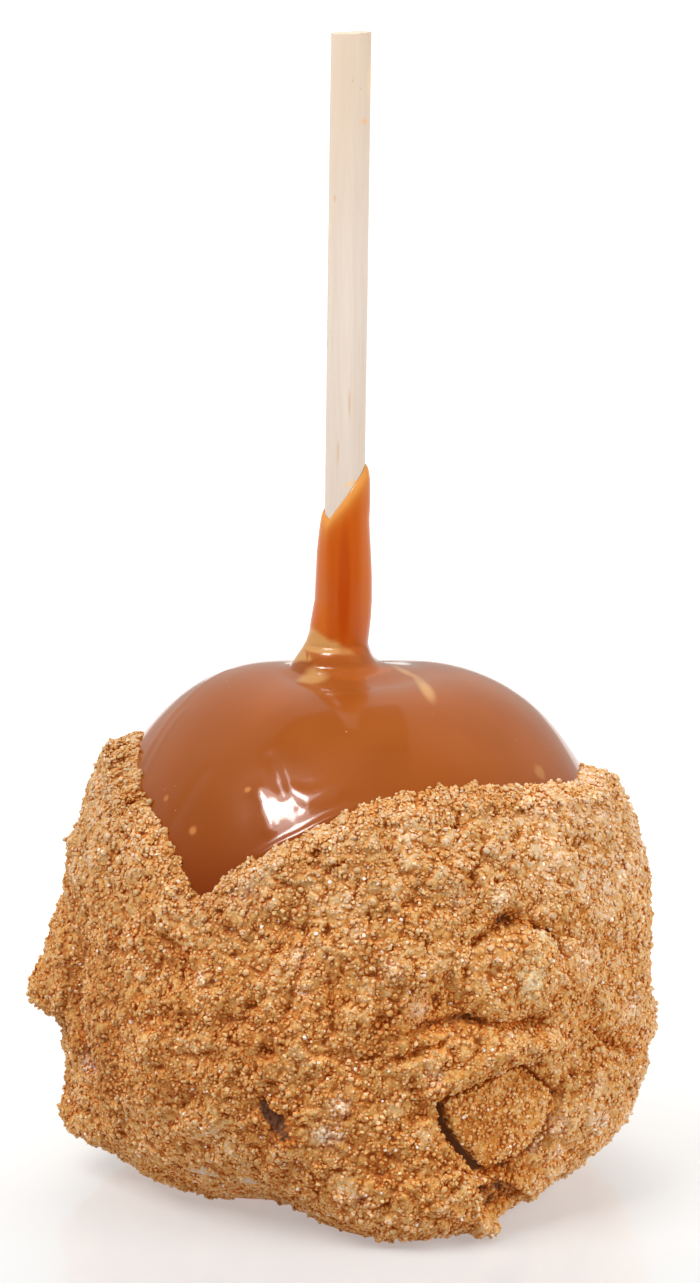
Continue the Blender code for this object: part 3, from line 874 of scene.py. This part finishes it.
def scatter(name, surface, shapes, density, low, high, seed, sink):
    """Loose grains of one kind, spread over the loose places of a surface and made one mesh."""
    shelf = bpy.data.collections.new(name + " shapes")
    bpy.context.scene.collection.children.link(shelf)
    for shape in shapes:
        for old in list(shape.users_collection):
            old.objects.unlink(shape)
        shelf.objects.link(shape)

    group = bpy.data.node_groups.new(name, "GeometryNodeTree")
    for way in ("INPUT", "OUTPUT"):
        group.interface.new_socket(name="Geometry", in_out=way, socket_type="NodeSocketGeometry")
    grains = Finish(name, group)

    def chance(least, most, draw, kind="FLOAT"):
        first, out = {"FLOAT_VECTOR": (0, 0), "FLOAT": (2, 1), "INT": (4, 2)}[kind]
        values = {first: least, first + 1: most, "Seed": seed + draw}
        return grains.node("FunctionNodeRandomValue", {"data_type": kind}, values, out)

    amount = grains.node("GeometryNodeInputNamedAttribute", None, {"Name": "loose"}) * (density / MM**2)
    spread = {"Mesh": grains.node("NodeGroupInput"), "Density": amount, "Seed": seed}
    spread = grains.node("GeometryNodeDistributePointsOnFaces", None, spread)
    lift = {0: spread.other("Normal"), "Scale": chance(-sink * MM, sink * 0.9 * MM, 5)}
    lifted = {"Geometry": spread, "Offset": grains.vector("SCALE", lift)}
    size = {"Value": chance(0, 1, 3), "To Min": low, "To Max": high}
    shelved = {"Collection": shelf, "Separate Children": True, "Reset Children": True}
    put = grains.node(
        "GeometryNodeInstanceOnPoints",
        None,
        {
            "Points": grains.node("GeometryNodeSetPosition", None, lifted),
            "Instance": grains.node("GeometryNodeCollectionInfo", None, shelved),
            "Pick Instance": True,
            "Instance Index": chance(0, len(shapes) - 1, 1, "INT"),
            "Rotation": chance((0, 0, 0), (2 * math.pi,) * 3, 2, "FLOAT_VECTOR"),
            "Scale": grains.node("ShaderNodeMapRange", None, size),
        },
    )
    shaded = grains.node(
        "GeometryNodeStoreNamedAttribute",
        {"domain": "INSTANCE"},
        {"Geometry": put, "Name": "shade", "Value": chance(0, 1, 4)},
    )
    real = grains.node("GeometryNodeRealizeInstances", None, {0: shaded})
    grains.feed(group.nodes.new("NodeGroupOutput").inputs[0], real)

    piece = twin_of(surface, name)
    piece.data.materials.clear()
    piece.modifiers.new("Scatter", "NODES").node_group = group
    apply_steps(piece)
    points = points_of(piece)
    points[:, 2] = np.maximum(points[:, 2], 0.03)
    set_points(piece, points)
    for shape in shapes:
        bpy.data.objects.remove(shape, do_unlink=True)
    bpy.data.collections.remove(shelf)
    bpy.data.node_groups.remove(group)
    return piece


# ---- Finishes


class Value:
    """A socket's output in shader sums, so that they read as sums."""

    def __init__(self, finish, socket):
        self.finish = finish
        self.socket = socket

    def math(self, operation, first, second):
        return self.finish.node("ShaderNodeMath", {"operation": operation}, {0: first, 1: second})

    def __add__(self, other):
        return self.math("ADD", self, other)

    __radd__ = __add__

    def __sub__(self, other):
        return self.math("SUBTRACT", self, other)

    def __rsub__(self, other):
        return self.math("SUBTRACT", other, self)

    def __mul__(self, other):
        return self.math("MULTIPLY", self, other)

    __rmul__ = __mul__

    def __truediv__(self, other):
        return self.math("DIVIDE", self, other)

    def least(self, other):
        return self.math("MINIMUM", self, other)

    def most(self, other):
        return self.math("MAXIMUM", self, other)

    def other(self, name):
        """Another output of the same node."""
        return Value(self.finish, self.socket.node.outputs[name])


class Finish:
    """A material, the world or a spread of grains, under construction."""

    def __init__(self, name, tree=None):
        if tree is None:
            self.material = bpy.data.materials.new(name)
            self.material.use_nodes = True
            tree = self.material.node_tree
            self.shader = tree.nodes["Principled BSDF"]
        self.tree = tree

    def node(self, kind, settings=None, values=None, out=0):
        made = self.tree.nodes.new(kind)
        for key, value in (settings or {}).items():
            if key == "stops":
                self.set_stops(made.color_ramp, value)
            else:
                setattr(made, key, value)
        for key, value in (values or {}).items():
            self.feed(made.inputs[key], value)
        return Value(self, made.outputs[out])

    def feed(self, socket, value):
        if isinstance(value, Value):
            self.tree.links.new(value.socket, socket)
        else:
            socket.default_value = value

    def set_stops(self, ramp, stops):
        while len(ramp.elements) < len(stops):
            ramp.elements.new(1.0)
        for element, (place, colour) in zip(ramp.elements, stops):
            element.position = place
            element.color = (*colour, 1)

    def place(self):
        return self.node("ShaderNodeTexCoord", out="Object")

    def part(self, place, axis):
        return self.node("ShaderNodeSeparateXYZ", None, {0: place}, axis)

    def joined(self, x, y, z=0.0):
        return self.node("ShaderNodeCombineXYZ", None, {0: x, 1: y, 2: z})

    def vector(self, operation, values, out="Vector"):
        return self.node("ShaderNodeVectorMath", {"operation": operation}, values, out)

    def number(self, name):
        return self.node("ShaderNodeAttribute", {"attribute_name": name}, out="Fac")

    def noise(self, place, size, detail=2.0, out="Fac"):
        return self.node("ShaderNodeTexNoise", None, {"Vector": place, "Scale": 1 / (size * MM), "Detail": detail}, out)

    def cells(self, place, size):
        """Distance from the middles of cells of this size, packed side by side."""
        return self.node("ShaderNodeTexVoronoi", None, {"Vector": place, "Scale": 1 / (size * MM)}, "Distance")

    def between(self, value, low, high):
        """0 below low, 1 above high, smooth between them."""
        settings = {"interpolation_type": "SMOOTHSTEP"}
        return self.node("ShaderNodeMapRange", settings, {"Value": value, "From Min": low, "From Max": high}, "Result")

    def zones(self, value, *zones):
        """Adds to a value in each zone: along what, where it starts, where it is full, and how much."""
        for along, start, full, more in zones:
            value = value + self.between(along, start, full) * more
        return value

    def ramp(self, value, stops):
        return self.node("ShaderNodeValToRGB", {"stops": stops}, {"Fac": value}, "Color")

    def mix(self, first, second, share, way="MIX"):
        settings = {"data_type": "RGBA", "blend_type": way}
        return self.node("ShaderNodeMix", settings, {"Factor": share, 6: colour(first), 7: colour(second)}, 2)

    def layers(self, tone, *layers):
        """Lays each colour over the last, with its share."""
        for shade, share in layers:
            tone = self.mix(tone, shade, share)
        return tone

    def mapped(self, place, way, **values):
        values = {key.capitalize(): value for key, value in values.items()}
        return self.node("ShaderNodeMapping", {"vector_type": way}, {"Vector": place, **values})

    def blob(self, place, middle, half, turn=(0, 0, 0), soft=0.5):
        """1 inside an ellipsoid round a middle, with this half size in mm, falling to 0 across its edge."""
        local = self.mapped(
            place,
            "TEXTURE",
            location=tuple(v * MM for v in middle),
            rotation=tuple(math.radians(v) for v in turn),
            scale=tuple(v * MM for v in half),
        )
        return self.between(self.vector("LENGTH", {0: local}, "Value"), 1.0 + soft, 1.0 - soft)

    def surface(self, **values):
        for key, value in values.items():
            self.feed(self.shader.inputs[key.replace("_", " ")], value)

    def relief(self, height, depth, strength=1.0):
        """Bumps of this depth in mm, where height runs from 0 to 1."""
        values = {"Height": height, "Distance": depth * MM, "Strength": strength}
        self.surface(Normal=self.node("ShaderNodeBump", None, values))


def colour(value):
    return (*value, 1) if isinstance(value, tuple) else value


def wood_finish():
    wood = Finish("pale wood")
    place = wood.place()
    height = wood.part(place, "Z")
    stretched = wood.mapped(place, "POINT", scale=(1, 1, 0.035))
    fibres = wood.noise(stretched, 0.35, 3)
    tone = wood.ramp(
        0.6 * wood.noise(stretched, 2.4, 2) + 0.4 * fibres,
        ((0.3, (0.575, 0.462, 0.372)), (0.5, (0.618, 0.523, 0.444)), (0.7, (0.648, 0.562, 0.488))),
    )
    aged = wood.between(height, 0.140, 0.182) * wood.noise(stretched, 3.0, 1)
    stain = wood.blob(place, (4.1, -1.6, 177), (1.2, 2.5, 4.2))
    spot = wood.blob(place, (2.3, -2.4, 171.0), (0.45, 1.2, 0.5))
    marks = [
        ((0.56, 0.32, 0.15), wood.blob(place, middle, half) * strength)
        for middle, half, strength in (
            ((-2.4, -2.2, 159.0), (0.25, 1.5, 0.5), 0.5),
            ((-0.1, -3.2, 126.5), (0.16, 1.5, 2.0), 0.55),
            ((-1.9, -2.9, 118.6), (0.18, 1.5, 1.8), 0.5),
            ((0.4, -3.2, 177.5), (0.16, 1.2, 0.2), 0.6),
            ((1.7, -2.9, 176.2), (0.14, 1.2, 0.2), 0.5),
        )
    ]
    smear = wood.blob(place, (0.3, -3.2, 113.7), (1.2, 1.4, 0.35), (0, -20, 0))
    end = wood.between(height, 0.18455, 0.1849) * wood.noise(place, 0.8, 2)
    tone = wood.layers(
        tone,
        ((0.56, 0.42, 0.29), aged * 0.9),
        ((0.80, 0.55, 0.31), stain * 0.55),
        ((0.72, 0.38, 0.18), spot * 0.7),
        *marks,
        ((0.78, 0.47, 0.20), smear * 0.7),
        ((0.55, 0.40, 0.28), end * 0.6),
    )
    wood.surface(Base_Color=tone, Roughness=0.72, IOR=1.4)
    wood.relief(fibres, 0.05)
    return wood.material


# Pale spots in the caramel: middle, half size, strength, colour
CARAMEL_SPOTS = (
    ((-6.0, -7.4, 83.0), (2.1, 2.4, 2.0), 0.75, (0.50, 0.265, 0.09)),
    ((30.0, -18.4, 70.2), (1.1, 1.1, 1.3), 0.5, (0.46, 0.20, 0.06)),
    ((-24.4, -29.7, 63.7), (0.7, 0.7, 0.7), 0.6, (0.60, 0.24, 0.07)),
    ((-15.8, -30.6, 70.3), (0.5, 0.5, 0.5), 0.6, (0.60, 0.24, 0.07)),
    ((-28.7, -22.5, 67.0), (0.5, 0.5, 0.5), 0.4, (0.58, 0.24, 0.07)),
)
# Parts of the pale streak on its crown: middle, half size, turn, strength
CARAMEL_STREAK = (
    ((8.6, -1.6, 82.9), (0.85, 3.2, 2.0), (0, 0, 30), 0.6),
    ((11.3, -8.2, 82.3), (0.75, 4.6, 2.2), (0, 0, 10), 0.55),
    ((12.2, -12.4, 82.0), (0.95, 4.0, 2.2), (0, 0, 10), 0.75),
)


def caramel_finish():
    caramel = Finish("caramel")
    place = caramel.place()
    height = caramel.part(place, "Z")
    slow = caramel.between(caramel.noise(place, 16, 2), 0.35, 0.65)
    sleeve = caramel.between(height, 0.0845, 0.0905)
    across = caramel.part(place, "X") + 0.001
    # Painted light: paler on the sleeve's left and right edges
    lit_sleeve_edges = caramel.between(across * across, 3.2e-6, 11e-6) * sleeve
    thin = caramel.between(1.0 - caramel.number("cover"), 0.05, 0.75) * sleeve
    # Painted reflection: a dark band down the front of the sleeve
    sleeve_dark_reflection = caramel.blob(place, (-0.95, -4.3, 97.4), (0.95, 2.0, 9.6), (0, 1, 0), soft=0.4)
    waver = (caramel.noise(place, 3.5, 1) - 0.5) * 0.0012
    bent = caramel.vector("ADD", {0: place, 1: caramel.joined(waver, waver)})
    spots = [
        (shade, caramel.blob(bent, middle, half, soft=0.45) * strength)
        for middle, half, strength, shade in CARAMEL_SPOTS
    ]
    streak = [
        ((0.50, 0.255, 0.085), caramel.blob(place, middle, half, turn, soft=0.6) * strength)
        for middle, half, turn, strength in CARAMEL_STREAK
    ]
    # Tiny trapped bubbles
    bubble = caramel.between(caramel.cells(place, 2.6), 0.062, 0.035)
    bubble = bubble * caramel.between(caramel.noise(place, 5.0, 1), 0.50, 0.60)
    # Two tones at random; painted shade makes it deeper and darker in colour lower down the side, towards the crumbs
    tone = caramel.mix((0.262, 0.063, 0.008), (0.288, 0.072, 0.011), slow)
    tone = caramel.mix((0.175, 0.029, 0.003), tone, caramel.between(height, 0.050, 0.074))
    tone = caramel.layers(
        tone,
        ((0.440, 0.074, 0.002), sleeve),
        ((0.460, 0.084, 0.001), caramel.between(height, 0.098, 0.113)),
        # Painted light on the sleeve's left and right edges
        ((0.52, 0.135, 0.014), lit_sleeve_edges * 0.6),
        ((0.60, 0.24, 0.05), thin),
        ((0.52, 0.265, 0.085), caramel.number("tan") * 0.9),
        # Painted reflection of the orange sleeve on the caramel in front of it
        ((0.35, 0.084, 0.012), caramel.number("root") * 0.85),
        # Painted dark reflection down the sleeve
        ((0.37, 0.038, 0.001), sleeve_dark_reflection * 0.6),
        *spots,
        *streak,
        ((0.72, 0.42, 0.26), bubble * 0.6),
    )
    caramel.surface(Base_Color=tone, Roughness=0.30, IOR=1.18)
    caramel.surface(Coat_Weight=0.8 - sleeve * 0.45, Coat_Roughness=0.075, Coat_IOR=1.42)
    # Fine wrinkles where the pour was pulled along
    pulled = caramel.mapped(place, "TEXTURE", rotation=(0, math.radians(-38), 0), scale=(2.6, 1, 0.6))
    wrinkles = caramel.noise(pulled, 1.1, 2) * caramel.blob(place, (-9.0, -33.5, 69.0), (9, 8, 6), soft=0.6)
    caramel.relief(caramel.noise(place, 1.6, 1) * 0.12 + bubble * 0.8 + wrinkles * 1.8, 0.03)
    return caramel.material


def crumb_finish(name, stops, rough=0.75):
    crumbs = Finish(name)
    place = crumbs.place()
    height, across = crumbs.part(place, "Z"), crumbs.part(place, "X")
    bend = crumbs.vector("SCALE", {0: crumbs.noise(place, 0.9, 1.0, "Color"), "Scale": 0.7 * MM})
    away = crumbs.cells(crumbs.vector("ADD", {0: place, 1: bend}), 0.54)
    chance = crumbs.part(away.other("Color"), "X") - 0.5
    fleck = crumbs.noise(place, 0.55, 2)
    patch = crumbs.noise(place, 7.0, 2) - 0.5
    deep = crumbs.number("deep")
    open_share = crumbs.node("ShaderNodeAmbientOcclusion", {"samples": 4}, {"Distance": 0.9 * MM}, "AO")
    # Painted shade: deeper in colour in the gaps, where the ambient occlusion is low, and in hollows and cracks
    shade = 0.375 + (open_share - 0.66) * 0.80 - (deep.least(1.15) - 0.55) * 0.38
    # More painted shade round each grain's edge
    shade = shade - (away - 0.42) * 0.46 + (fleck - 0.5) * 0.32 + patch * 0.50
    # Painted light: paler near the top (from above), near the ground (bounce from the table) and on the right
    shade = crumbs.zones(
        shade, (height, 0.034, 0.066, 0.13), (height, 0.024, 0.006, 0.05), (across, 0.012, 0.045, 0.10)
    )
    # Brightness: random by grain, fleck and patch, and a little darker round each grain's edge as painted shade
    light = 1.075 - (away - 0.42) * 0.12 + (crumbs.number("shade") - 0.5) * 0.20
    light = light + chance * 0.07 + (fleck - 0.5) * 0.10 + patch * 0.62
    # Painted light: lighter near the ground and on the right; painted shade: a little darker at the very top and at the
    # far left
    light = crumbs.zones(
        light,
        (height, 0.045, 0.066, -0.05),
        (height, 0.024, 0.004, 0.14),
        (across, 0.012, 0.045, 0.08),
        (across, -0.026, -0.044, -0.10),
    )
    # Near black in the burnt flecks, and a painted shadow in the deepest cracks, such as the slab's left gap
    burnt_and_crack_shadow = crumbs.between(deep + (fleck - 0.5) * 1.5, 1.5, 2.1)
    pale = crumbs.number("pale") * crumbs.between(fleck, 0.46, 0.53) * 1.1
    tone = crumbs.mix(crumbs.ramp(shade, stops), (0.095, 0.034, 0.016), burnt_and_crack_shadow)
    tone = crumbs.mix(tone, crumbs.joined(light, light, light), 1.0, "MULTIPLY")
    tone = crumbs.mix(tone, (0.95, 0.85, 0.69), pale.least(1.0))
    crumbs.surface(Base_Color=tone, Roughness=rough, IOR=1.4)
    # Painted glow: a constant emission stands in for light that comes through the sugar and warms the gaps
    crumbs.surface(Emission_Color=(0.030, 0.008, 0.0005, 1), Emission_Strength=1.0)
    crumbs.relief(crumbs.noise(place, 0.5, 2) * 0.9 - away * 1.0, 0.26, 0.42)
    return crumbs.material


def floor_finish():
    """White laminate with a painted glow that grows further off: a painted shadow round the apple's foot, and dimmer in
    front.
    """
    floor = Finish("white table")
    place = floor.place()
    from_foot = floor.vector("SUBTRACT", {0: place, 1: (-0.004, -0.105, 0)})
    # Painted shadow: the glow is weakest round the apple's foot
    glow = floor.between(floor.vector("LENGTH", {0: from_foot}, "Value"), 0.02, 0.32) * 0.57 + 0.31
    # Painted shade: dimmer in front
    glow = glow * (floor.between(floor.part(place, "Y"), -0.40, -0.10) * 0.65 + 0.35)
    floor.surface(Base_Color=(0.40, 0.40, 0.40, 1), Roughness=0.12, IOR=1.45)
    floor.surface(Emission_Color=floor.joined(glow, glow, glow), Emission_Strength=1.0)
    return floor.material


def dress(piece, material, slot, *nodes):
    piece.data.materials.clear()
    piece.data.materials.append(material)
    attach(piece, "root")
    if nodes:
        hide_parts(*nodes)


# ---- Studio


# Camera: how far in front of the apple and how high, in m, how far down it looks, in degrees, and its lens, in mm
CAMERA_BACK = 0.720
CAMERA_HEIGHT = 0.2378
CAMERA_DIP = 11.8
CAMERA_LENS = 128.34
# Soft boxes: name, azimuth, elevation, distance, width, height, watts, whether the glaze sees it, and the crumbs
LAMPS = (
    ("key", -44, 49, 0.70, 0.18, 0.14, 3.0, True, False),
    ("key_halo", -44, 49, 0.70, 0.32, 0.26, 1.6, True, False),
    ("key_bounce", -47, 50, 0.70, 0.44, 0.38, 5.2, False, True),
    ("top_fill", 10, 72, 0.60, 0.35, 0.35, 0.8, False, True),
    ("back_fill", 180, 40, 0.60, 0.40, 0.40, 2.6, False, True),
    ("right_fill", 62, 24, 0.60, 0.34, 0.34, 2.4, False, True),
)


def make_camera():
    camera = put_in_scene("camera", bpy.data.cameras.new("camera"))
    camera.location = (0, -CAMERA_BACK, CAMERA_HEIGHT)
    camera.rotation_euler = (math.radians(90 - CAMERA_DIP), 0, 0)
    camera.data.lens = CAMERA_LENS
    camera.data.sensor_width = 36
    bpy.context.scene.camera = camera


def make_lamps():
    """Soft boxes that face the middle of the apple."""
    for name, azimuth, elevation, distance, width, height, power, glossy, diffuse in LAMPS:
        lamp = bpy.data.lights.new(name, "AREA")
        lamp.shape = "RECTANGLE"
        lamp.size = width
        lamp.size_y = height
        lamp.energy = power
        box = put_in_scene(name, lamp)
        turn = math.radians(azimuth)
        rise = math.radians(elevation)
        away = Vector((math.sin(turn) * math.cos(rise), -math.cos(turn) * math.cos(rise), math.sin(rise)))
        box.location = Vector((0, 0, 0.07)) + away * distance
        box.rotation_euler = away.to_track_quat("Z", "Y").to_euler()
        box.visible_glossy = glossy
        box.visible_diffuse = diffuse


def make_world():
    """A white tent: bright behind, dimmer in front, with an unlit opening overhead."""
    world = bpy.data.worlds.new("tent")
    bpy.context.scene.world = world
    world.use_nodes = True
    tent = Finish("tent", world.node_tree)
    way = tent.node("ShaderNodeTexCoord", out="Generated")
    x, y, z = (tent.part(way, axis) for axis in "XYZ")
    right, back = x / z.most(0.02), y / z.most(0.02)
    opening = tent.between(right + back * 0.18, 0.354, 0.334)
    opening = opening * tent.between(back - right * 1.33, 0.86, 0.74) * tent.between(back, -1.2, -0.9)
    opening = opening * tent.between(z, 0.2, 0.35)
    light = (tent.between(y, -0.35, 0.35) * 0.47 + 0.07) * (1.0 - opening * 0.88)
    seen = tent.node("ShaderNodeLightPath", out="Is Camera Ray")
    background = world.node_tree.nodes["Background"]
    tent.feed(background.inputs["Strength"], light * (1.0 - seen) + seen)
    tent.feed(background.inputs["Color"], tent.mix((1, 0.98, 0.91), (1, 1, 1), seen))


def make_table():
    deselect()
    bpy.ops.mesh.primitive_plane_add(size=8, location=(0, 0, 0))
    table = added("table")
    table.data.materials.append(floor_finish())
    # A dark card low in front, which only the glaze sees
    deselect()
    bpy.ops.mesh.primitive_plane_add(size=1, location=(0.025, -0.30, 0.03), rotation=(math.radians(90), 0, 0))
    card = added("dark_card")
    card.scale = (0.30, 0.08, 1)
    black = Finish("black card")
    black.surface(Base_Color=(0.01, 0.01, 0.01, 1), Roughness=1.0)
    card.data.materials.append(black.material)
    card.visible_camera = False
    card.visible_diffuse = False
    card.visible_shadow = False


CRUMB_STOPS = (
    (0.04, (0.42, 0.076, 0.005)), (0.22, (0.50, 0.150, 0.016)), (0.40, (0.57, 0.250, 0.046)),
    (0.56, (0.60, 0.347, 0.110)), (0.72, (0.58, 0.402, 0.222)), (0.92, (0.55, 0.455, 0.385)),
)
PALE_STOPS = (
    (0.15, (0.60, 0.32, 0.09)), (0.40, (0.65, 0.42, 0.16)), (0.65, (0.68, 0.50, 0.26)),
    (0.90, (0.70, 0.58, 0.38)),
)
SUGAR_STOPS = (
    (0.15, (0.70, 0.55, 0.38)), (0.50, (0.76, 0.68, 0.57)), (0.90, (0.80, 0.76, 0.70)),
)


# Kinds of loose grain: name, faces, number of shapes, whether its faces are flat, how many to a square mm,
# least and greatest size in mm, seed, how far it sinks or rises in mm, and which finish it wears
GRAINS = (
    ("golden_crumbs", 8, 5, False, 0.41, 0.48, 0.95, 11, 0.14, "crumbs"),
    ("amber_crumbs", 8, 5, False, 0.404, 0.45, 0.90, 23, 0.14, "crumbs"),
    ("brown_crystals", 8, 5, True, 0.40, 0.46, 0.85, 37, 0.14, "crumbs"),
    ("tan_crystals", 8, 5, True, 0.41, 0.44, 0.80, 59, 0.18, "crumbs"),
    ("coarse_crumbs", 20, 6, False, 0.05, 0.8, 1.3, 51, 0.50, "crumbs"),
    ("pale_grains", 8, 4, True, 0.14, 0.45, 0.95, 67, 0.16, "pale_crumbs"),
    ("sugar_grains", 8, 4, True, 0.03, 0.45, 0.8, 83, 0.16, "sugar"),
)


def make_grains(pieces, finishes):
    """All kinds of loose grain, on these pieces joined as their ground."""
    ground, *others = (twin_of(piece, "ground") for piece in pieces)
    work_on(ground)
    for twin in others:
        twin.select_set(True)
    bpy.ops.object.join()
    # Loose grains lie on top, so they count as less deep than what they lie on, and get less painted shade
    layer = ground.data.attributes["deep"]
    deep = np.empty(len(ground.data.vertices), dtype=np.float32)
    layer.data.foreach_get("value", deep)
    layer.data.foreach_set("value", np.where(deep > 1.4, deep, deep * 0.6 + 0.05).astype(np.float32))
    for name, faces, count, flat, density, low, high, seed, sink, finish in GRAINS:
        shapes = [grain_shape(f"{name} {i}", faces, seed + i, flat) for i in range(count)]
        loose = scatter(name, ground, shapes, density, low, high, seed, sink)
        dress(loose, finishes[finish], "crumbs" if finish == "crumbs" else "pale_crumbs")
    bpy.data.objects.remove(ground, do_unlink=True)


def halve(coat, finish):
    """The coat in two closed halves, so that each keeps its fine relief."""
    for name, side in (("coat_front", 1), ("coat_back", -1)):
        half = twin_of(coat, name)
        work_on(half)
        with edit_mode():
            bpy.ops.mesh.bisect(
                plane_co=(0, 0, 0), plane_no=(0, side, 0), use_fill=True, clear_outer=True, threshold=0.000001
            )
        dress(half, finish, "crumbs", "crumb_coat")
    bpy.data.objects.remove(coat, do_unlink=True)


make_camera()
make_world()
make_lamps()
make_table()

dress(make_stick(), wood_finish(), "wood", "stick")
dress(make_caramel(), caramel_finish(), "caramel", "caramel_coated_apple")
coat, slab, clump = make_coat_surface(), make_slab(), make_clump()
finishes = {
    "crumbs": crumb_finish("biscuit crumbs", CRUMB_STOPS),
    "pale_crumbs": crumb_finish("pale biscuit", PALE_STOPS),
    "sugar": crumb_finish("sugar", SUGAR_STOPS, 0.4),
}
make_grains((coat, slab, clump), finishes)
halve(coat, finishes["crumbs"])
dress(slab, finishes["crumbs"], "crumbs", "crumb_slab")
dress(clump, finishes["pale_crumbs"], "pale_crumbs", "crumb_clump")

bpy.context.scene.view_settings.view_transform = "Standard"
